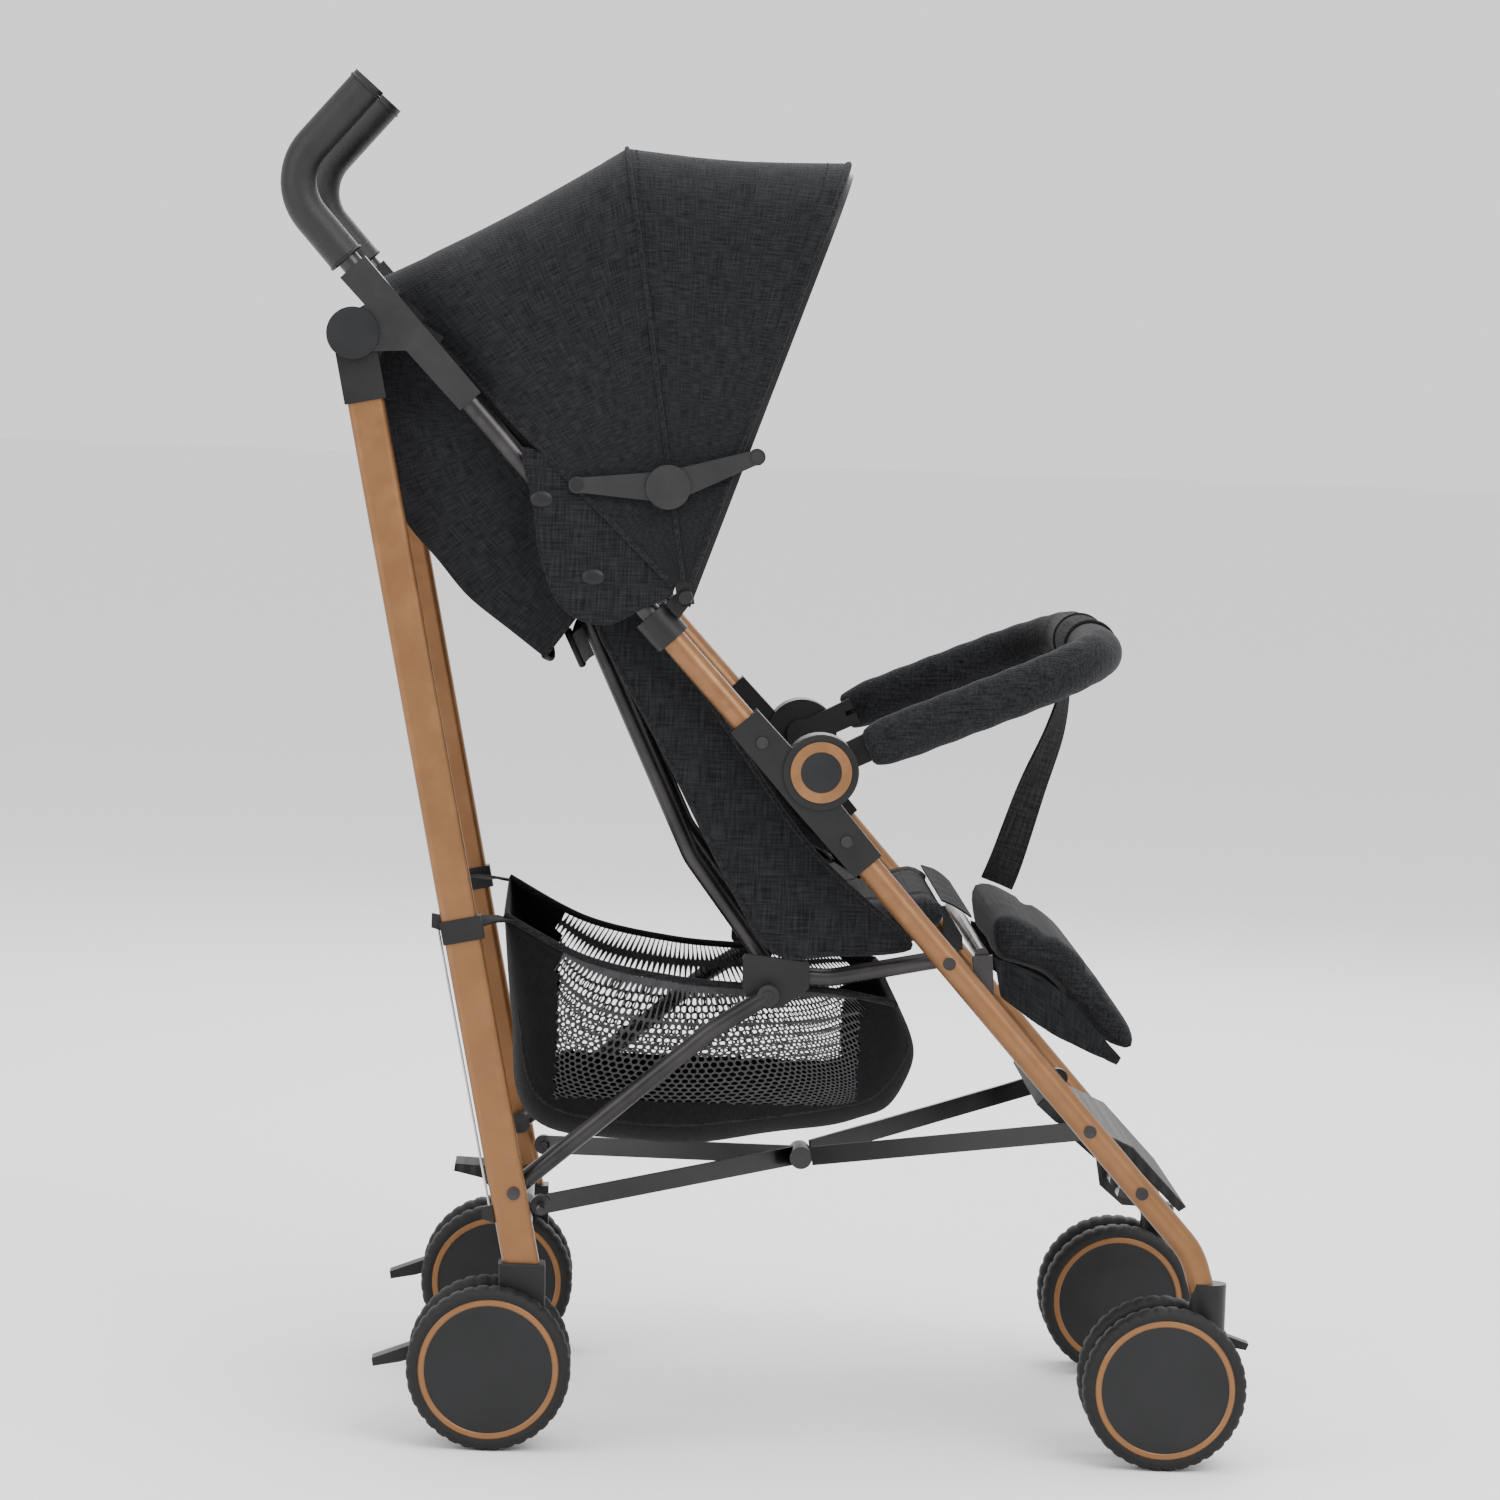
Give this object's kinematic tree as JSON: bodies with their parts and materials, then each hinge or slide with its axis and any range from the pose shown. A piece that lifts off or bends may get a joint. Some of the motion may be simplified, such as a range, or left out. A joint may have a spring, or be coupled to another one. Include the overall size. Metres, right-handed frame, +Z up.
{
  "type": "baby stroller",
  "caption": "Folding umbrella stroller with padded seat, bumper bar, swivelling front casters, twin wheels, mesh basket and fan canopy.",
  "frame": {"origin": "on the floor, at the middle of the length and width", "axes": "+X forward, +Y to the child's left, +Z up"},
  "size_m": [0.775, 0.484, 1.052],
  "materials": {
    "copper": "satin metallic",
    "dark_metal": "satin gunmetal",
    "black_plastic": "matt",
    "grip_cover": "fine grain",
    "steel": "satin",
    "charcoal_fabric": "melange weave",
    "black_fabric": "plain weave",
    "basket_mesh": "hexagonal net",
    "tyre": "moulded"
  },
  "bodies": {
    "front_frame": {"front_legs": "copper", "upper_links": "copper", "upper_tubes": "dark_metal", "collars": "black_plastic", "channels": "black_plastic", "fold_pins": "black_plastic", "grips": "grip_cover", "hub_housings": "black_plastic", "hub_rings": "copper", "hub_caps": "black_plastic", "front_rivets": "dark_metal", "seat_rod": "dark_metal", "caster_sockets": "black_plastic", "footrest": "black_plastic", "foot_bar": "dark_metal", "canopy_rear_bow": "black_plastic", "canopy_rear_panel": "charcoal_fabric", "stay_studs": "black_plastic", "back_curtain": "black_fabric"},
    "rear_frame": {"rear_legs": "copper", "fold_knuckles": "black_plastic", "axle_blocks": "black_plastic", "rear_cross_bar": "dark_metal", "rear_rivets": "dark_metal", "strap_clips": "black_plastic", "pull_cords": "steel", "basket": "basket_mesh"},
    "seat_frame": {"seat_rails": "dark_metal", "rail_brackets": "black_plastic", "seat_pad": "charcoal_fabric"},
    "backrest": {"back_tube": "dark_metal", "back_pad": "charcoal_fabric", "side_wings": "charcoal_fabric"},
    "struts": {"struts": "dark_metal"},
    "rear_brace": {"rear_brace": "dark_metal"},
    "front_brace": {"front_brace": "dark_metal"},
    "canopy_mid": {"canopy_mid_bow": "black_plastic", "canopy_front_panel": "charcoal_fabric"},
    "canopy_front": {"canopy_front_bow": "black_plastic"},
    "stay_rear": {"stay_rear_arms": "dark_metal"},
    "stay_front": {"stay_front_arms": "dark_metal"},
    "bumper": {"bumper_pad": "charcoal_fabric", "bumper_arms": "black_plastic", "crotch_strap": "black_fabric"},
    "leg_rest": {"leg_rest_pad": "charcoal_fabric"},
    "fold_pedal": {"fold_pedal": "black_plastic"},
    "brake_pedal_left": {"brake_pedal_left": "black_plastic"},
    "caster_left": {"caster_fork_left": "black_plastic"},
    "swivel_lock_left": {"swivel_lock_left": "black_plastic"},
    "wheel_rear_left_outer": {"wheel_rear_left_outer": "tyre"},
    "wheel_rear_left_inner": {"wheel_rear_left_inner": "tyre"},
    "wheel_front_left_outer": {"wheel_front_left_outer": "tyre"},
    "wheel_front_left_inner": {"wheel_front_left_inner": "tyre"},
    "brake_pedal_right": {"brake_pedal_right": "black_plastic"},
    "caster_right": {"caster_fork_right": "black_plastic"},
    "swivel_lock_right": {"swivel_lock_right": "black_plastic"},
    "wheel_rear_right_outer": {"wheel_rear_right_outer": "tyre"},
    "wheel_rear_right_inner": {"wheel_rear_right_inner": "tyre"},
    "wheel_front_right_outer": {"wheel_front_right_outer": "tyre"},
    "wheel_front_right_inner": {"wheel_front_right_inner": "tyre"}
  },
  "joints": [
    {"name": "fold", "type": "hinge", "parent": "front_frame", "child": "rear_frame", "pos_m": [-0.323, 0, 0.852], "axis": [0, -1, 0], "range_deg": [0, 10], "deforming": ["basket", "seat_pad", "back_pad", "side_wings", "back_curtain"]},
    {"name": "seat_frame_pivot", "type": "hinge", "parent": "front_frame", "child": "seat_frame", "pos_m": [0.15, 0, 0.385], "axis": [0, -1, 0], "range_deg": [-43.34, 0]},
    {"name": "strut_pivot", "type": "hinge", "parent": "rear_frame", "child": "struts", "pos_m": [-0.179, 0, 0.196], "axis": [0, -1, 0], "range_deg": [0, 6.66]},
    {"name": "rear_brace_pivot", "type": "hinge", "parent": "rear_frame", "child": "rear_brace", "pos_m": [-0.158, 0, 0.181], "axis": [0, -1, 0], "range_deg": [-60, 0]},
    {"name": "front_brace_pivot", "type": "hinge", "parent": "rear_brace", "child": "front_brace", "pos_m": [0.049, 0, 0.203], "axis": [0, -1, 0], "range_deg": [0, 85]},
    {"name": "recline", "type": "hinge", "parent": "seat_frame", "child": "backrest", "pos_m": [0.0075, 0, 0.3723], "axis": [0, -1, 0], "range_deg": [0, 28]},
    {"name": "canopy_fold", "type": "hinge", "parent": "front_frame", "child": "canopy_mid", "pos_m": [-0.0635, 0, 0.6599], "axis": [0, -1, 0], "range_deg": [0, 26], "deforming": ["canopy_rear_panel", "canopy_front_panel"]},
    {"name": "canopy_front_pivot", "type": "hinge", "parent": "canopy_mid", "child": "canopy_front", "pos_m": [-0.0635, 0, 0.6599], "axis": [0, -1, 0], "range_deg": [0, 22]},
    {"name": "stay_rear_pivot", "type": "hinge", "parent": "front_frame", "child": "stay_rear", "pos_m": [-0.1488, 0, 0.7427], "axis": [0, -1, 0], "range_deg": [-38, 0]},
    {"name": "stay_front_pivot", "type": "hinge", "parent": "stay_rear", "child": "stay_front", "pos_m": [-0.0796, 0, 0.7437], "axis": [0, -1, 0], "range_deg": [0, 120.9]},
    {"name": "bumper_swing", "type": "hinge", "parent": "front_frame", "child": "bumper", "pos_m": [0.0454, 0, 0.5294], "axis": [0, -1, 0], "range_deg": [0, 55], "deforming": ["crotch_strap"]},
    {"name": "leg_rest_tilt", "type": "hinge", "parent": "front_frame", "child": "leg_rest", "pos_m": [0.176, 0, 0.39], "axis": [0, -1, 0], "range_deg": [-20, 15]},
    {"name": "fold_pedal_press", "type": "hinge", "parent": "rear_frame", "child": "fold_pedal", "pos_m": [-0.1725, 0, 0.15], "axis": [0, -1, 0], "range_deg": [0, 20], "stiffness_Nm_per_rad": 0.6},
    {"name": "brake_left", "type": "hinge", "parent": "rear_frame", "child": "brake_pedal_left", "pos_m": [-0.216, 0.205, 0.086], "axis": [0, -1, 0], "range_deg": [0, 18]},
    {"name": "caster_left", "type": "hinge", "parent": "front_frame", "child": "caster_left", "pos_m": [0.3605, 0.205, 0.11], "axis": [0, 0, 1], "continuous": true},
    {"name": "swivel_lock_left", "type": "hinge", "parent": "caster_left", "child": "swivel_lock_left", "pos_m": [0.368, 0.205, 0.096], "axis": [0, -1, 0], "range_deg": [-12, 0]},
    {"name": "wheel_rear_left_outer_spin", "type": "hinge", "parent": "rear_frame", "child": "wheel_rear_left_outer", "pos_m": [-0.1938, 0.231, 0.0635], "axis": [0, 1, 0], "continuous": true},
    {"name": "wheel_rear_left_inner_spin", "type": "hinge", "parent": "rear_frame", "child": "wheel_rear_left_inner", "pos_m": [-0.1938, 0.179, 0.0635], "axis": [0, 1, 0], "continuous": true},
    {"name": "wheel_front_left_outer_spin", "type": "hinge", "parent": "caster_left", "child": "wheel_front_left_outer", "pos_m": [0.327, 0.231, 0.0635], "axis": [0, 1, 0], "continuous": true},
    {"name": "wheel_front_left_inner_spin", "type": "hinge", "parent": "caster_left", "child": "wheel_front_left_inner", "pos_m": [0.327, 0.179, 0.0635], "axis": [0, 1, 0], "continuous": true},
    {"name": "brake_right", "type": "hinge", "parent": "rear_frame", "child": "brake_pedal_right", "pos_m": [-0.216, -0.205, 0.086], "axis": [0, -1, 0], "range_deg": [0, 18]},
    {"name": "caster_right", "type": "hinge", "parent": "front_frame", "child": "caster_right", "pos_m": [0.3605, -0.205, 0.11], "axis": [0, 0, 1], "continuous": true},
    {"name": "swivel_lock_right", "type": "hinge", "parent": "caster_right", "child": "swivel_lock_right", "pos_m": [0.368, -0.205, 0.096], "axis": [0, -1, 0], "range_deg": [-12, 0]},
    {"name": "wheel_rear_right_outer_spin", "type": "hinge", "parent": "rear_frame", "child": "wheel_rear_right_outer", "pos_m": [-0.1938, -0.231, 0.0635], "axis": [0, 1, 0], "continuous": true},
    {"name": "wheel_rear_right_inner_spin", "type": "hinge", "parent": "rear_frame", "child": "wheel_rear_right_inner", "pos_m": [-0.1938, -0.179, 0.0635], "axis": [0, 1, 0], "continuous": true},
    {"name": "wheel_front_right_outer_spin", "type": "hinge", "parent": "caster_right", "child": "wheel_front_right_outer", "pos_m": [0.327, -0.231, 0.0635], "axis": [0, 1, 0], "continuous": true},
    {"name": "wheel_front_right_inner_spin", "type": "hinge", "parent": "caster_right", "child": "wheel_front_right_inner", "pos_m": [0.327, -0.179, 0.0635], "axis": [0, 1, 0], "continuous": true}
  ],
  "couplings": [
    {"joint": "seat_frame_pivot", "follows": "fold", "ratio": -4.334},
    {"joint": "strut_pivot", "follows": "fold", "ratio": 0.6655},
    {"joint": "rear_brace_pivot", "follows": "fold", "ratio": -6},
    {"joint": "front_brace_pivot", "follows": "fold", "ratio": 8.5},
    {"joint": "canopy_front_pivot", "follows": "canopy_fold", "ratio": 0.84615},
    {"joint": "stay_rear_pivot", "follows": "canopy_fold", "ratio": -1.4615},
    {"joint": "stay_front_pivot", "follows": "canopy_fold", "ratio": 4.65}
  ]
}
